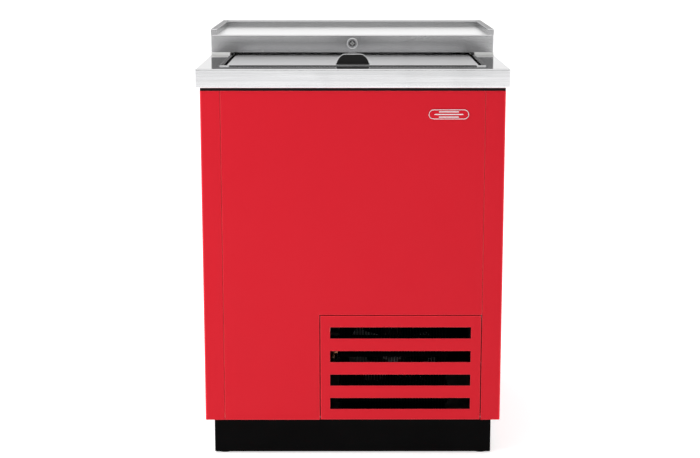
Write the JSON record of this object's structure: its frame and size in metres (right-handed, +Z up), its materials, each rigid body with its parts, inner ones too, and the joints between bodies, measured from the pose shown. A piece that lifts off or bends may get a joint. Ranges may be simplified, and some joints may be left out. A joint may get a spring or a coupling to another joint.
{
  "type": "chest freezer",
  "caption": "Bar-height chest cooler with a sliding lid, a raised rear shelf with gallery rail, a lock, a lift-off service grille and a complete refrigeration set.",
  "frame": {"origin": "middle of the footprint, rear bumpers included, on the floor", "axes": "+Z up, +Y to the back, +X to the right of a person facing the front (the front faces -Y)"},
  "size_m": [0.626, 0.699, 0.8695],
  "materials": {
    "red_paint": "satin",
    "black_paint": "satin",
    "stainless": "satin",
    "galvanised": "satin",
    "chrome": "polished",
    "aluminium_fin": "satin",
    "copper": "satin",
    "black_plastic": "matte",
    "gloss_black_plastic": "gloss",
    "white_plastic": "satin",
    "foam": "matte",
    "rubber": "matte",
    "zinc_wire": "satin",
    "lock_dark": "satin"
  },
  "bodies": {
    "cabinet": {"right_side_panel": "red_paint", "left_side_panel": "red_paint", "front_panel": "red_paint", "back_panel": "galvanised", "bottom_pan": "galvanised", "kick_frame": "black_paint", "levelling_feet": "black_plastic", "back_screws": "galvanised", "rear_bumpers": "rubber", "cord_gland": "rubber", "grille_mounts": "black_paint", "countertop": "stainless", "countertop_core": "foam", "breaker_strip": "black_plastic", "well_liner": "galvanised", "cabinet_foam": "foam", "machine_partition": "black_paint", "rear_deck": "galvanised", "rear_deck_foam": "foam", "lid_tracks": "black_plastic", "lid_seats": "black_plastic", "shelf_box": "stainless", "shelf_spacers": "white_plastic", "shelf_rail": "stainless", "lock_body": "chrome", "lock_nut": "galvanised", "nameplate": "chrome", "machine_tray": "black_paint", "condenser_coil": "black_paint", "condenser_shroud": "black_paint", "condenser_fan_motor": "black_paint", "compressor": "black_paint", "compressor_mounts": "rubber", "start_relay_box": "black_plastic", "filter_drier": "copper", "refrigerant_lines": "copper", "condensate_drain": "black_plastic", "evaporator_cover": "galvanised", "evaporator_coil": "aluminium_fin", "evaporator_fan_motor": "black_paint", "evaporator_fan_guard": "zinc_wire", "thermostat": "white_plastic", "divider_rails": "galvanised"},
    "lid": {"lid_shell": "stainless", "lid_foam": "foam", "lid_liner": "white_plastic", "lid_glides": "white_plastic", "lid_gaskets": "rubber", "lid_handle": "black_plastic", "lid_strike": "stainless"},
    "lock_core": {"lock_plug": "lock_dark", "lock_cam": "galvanised"},
    "grille": {"front_grille": "red_paint", "grille_clips": "black_plastic"},
    "condenser_fan": {"condenser_fan_blades": "aluminium_fin"},
    "evaporator_fan": {"evaporator_fan_blades": "black_plastic"},
    "thermostat_dial": {"thermostat_knob": "black_plastic"},
    "divider": {"bin_divider": "zinc_wire"},
    "deep_rack": {"deep_floor_rack": "zinc_wire"},
    "shallow_rack": {"shallow_floor_rack": "zinc_wire"}
  },
  "joints": [
    {"name": "lid_slide", "type": "slide", "parent": "cabinet", "child": "lid", "axis": [0, 1, 0], "range_m": [0, 0.26]},
    {"name": "lock_turn", "type": "hinge", "parent": "cabinet", "child": "lock_core", "pos_m": [0, -0.0065, 0.837], "axis": [0, 1, 0], "range_deg": [0, 90]},
    {"name": "grille_pull", "type": "slide", "parent": "cabinet", "child": "grille", "axis": [0, -1, 0], "range_m": [0, 0.06]},
    {"name": "condenser_fan_spin", "type": "hinge", "parent": "cabinet", "child": "condenser_fan", "pos_m": [0.085, -0.2165, 0.198], "axis": [0, 1, 0], "continuous": true},
    {"name": "evaporator_fan_spin", "type": "hinge", "parent": "cabinet", "child": "evaporator_fan", "pos_m": [0.202, -0.0795, 0.5], "axis": [1, 0, 0], "continuous": true},
    {"name": "thermostat_turn", "type": "hinge", "parent": "cabinet", "child": "thermostat_dial", "pos_m": [0.178, 0.1005, 0.596], "axis": [-1, 0, 0], "range_deg": [0, 270]},
    {"name": "divider_lift", "type": "slide", "parent": "cabinet", "child": "divider", "axis": [0, 0, 1], "range_m": [0, 0.05]},
    {"name": "deep_rack_lift", "type": "slide", "parent": "cabinet", "child": "deep_rack", "axis": [0, 0, 1], "range_m": [0, 0.2]},
    {"name": "shallow_rack_lift", "type": "slide", "parent": "cabinet", "child": "shallow_rack", "axis": [0, 0, 1], "range_m": [0, 0.1]}
  ]
}
